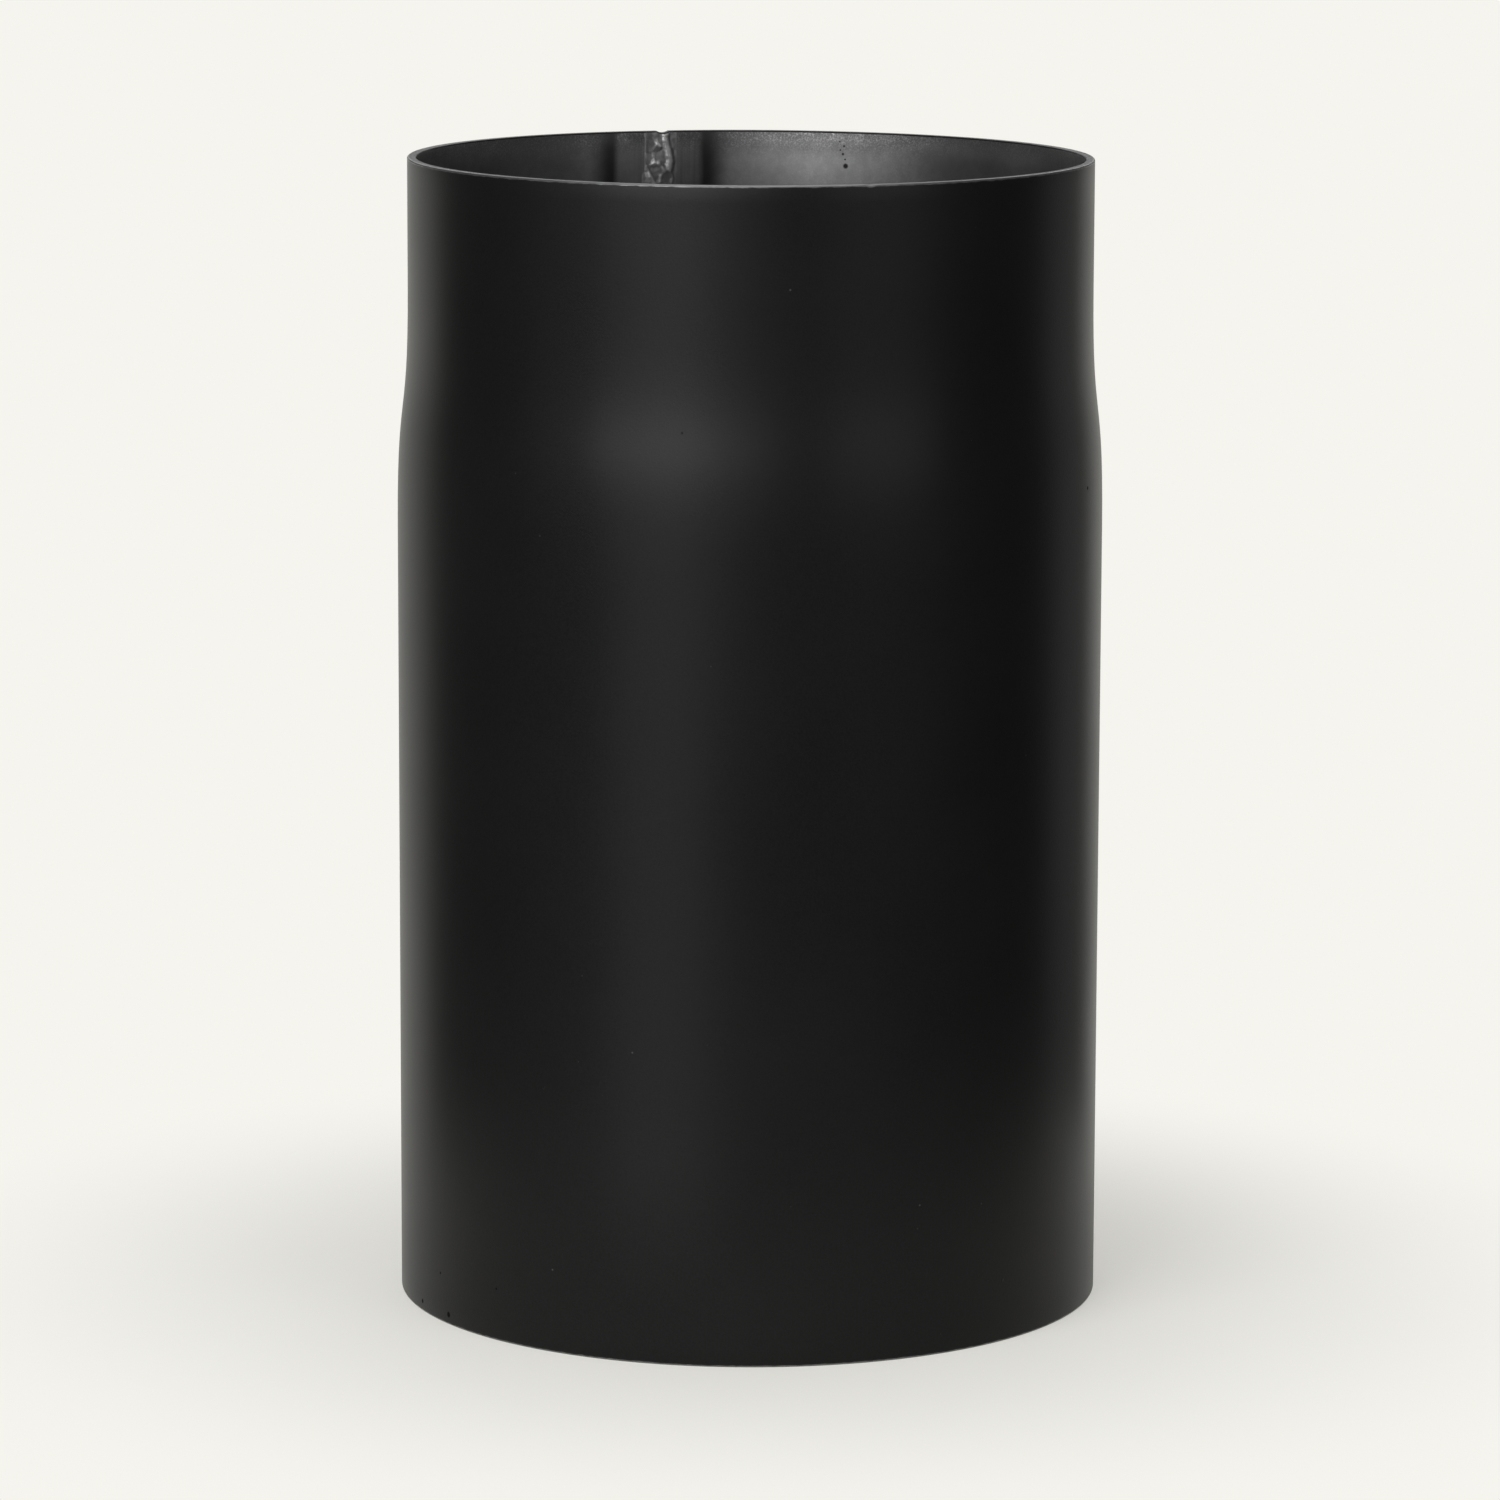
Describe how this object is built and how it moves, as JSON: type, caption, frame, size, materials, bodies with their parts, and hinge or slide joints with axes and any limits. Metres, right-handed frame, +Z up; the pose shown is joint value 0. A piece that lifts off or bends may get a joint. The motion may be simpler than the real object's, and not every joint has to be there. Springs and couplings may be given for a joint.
{
  "type": "stove pipe extension",
  "caption": "Short black-painted steel stove pipe length with a wide socket end below and a drawn-in spigot end above.",
  "frame": {"origin": "middle of the socket's rim, the end that the pipe stands on", "axes": "+Z up the pipe's axis from the socket to the spigot, +Y towards the back, with the weld seam 16 degrees from +Y towards -X"},
  "size_m": [0.154, 0.154, 0.25],
  "materials": {
    "heat_paint": "matte heat-resistant black paint on mild steel sheet, thin and patchy on the inside"
  },
  "bodies": {
    "root": {"stove_pipe": "heat_paint"}
  },
  "joints": []
}
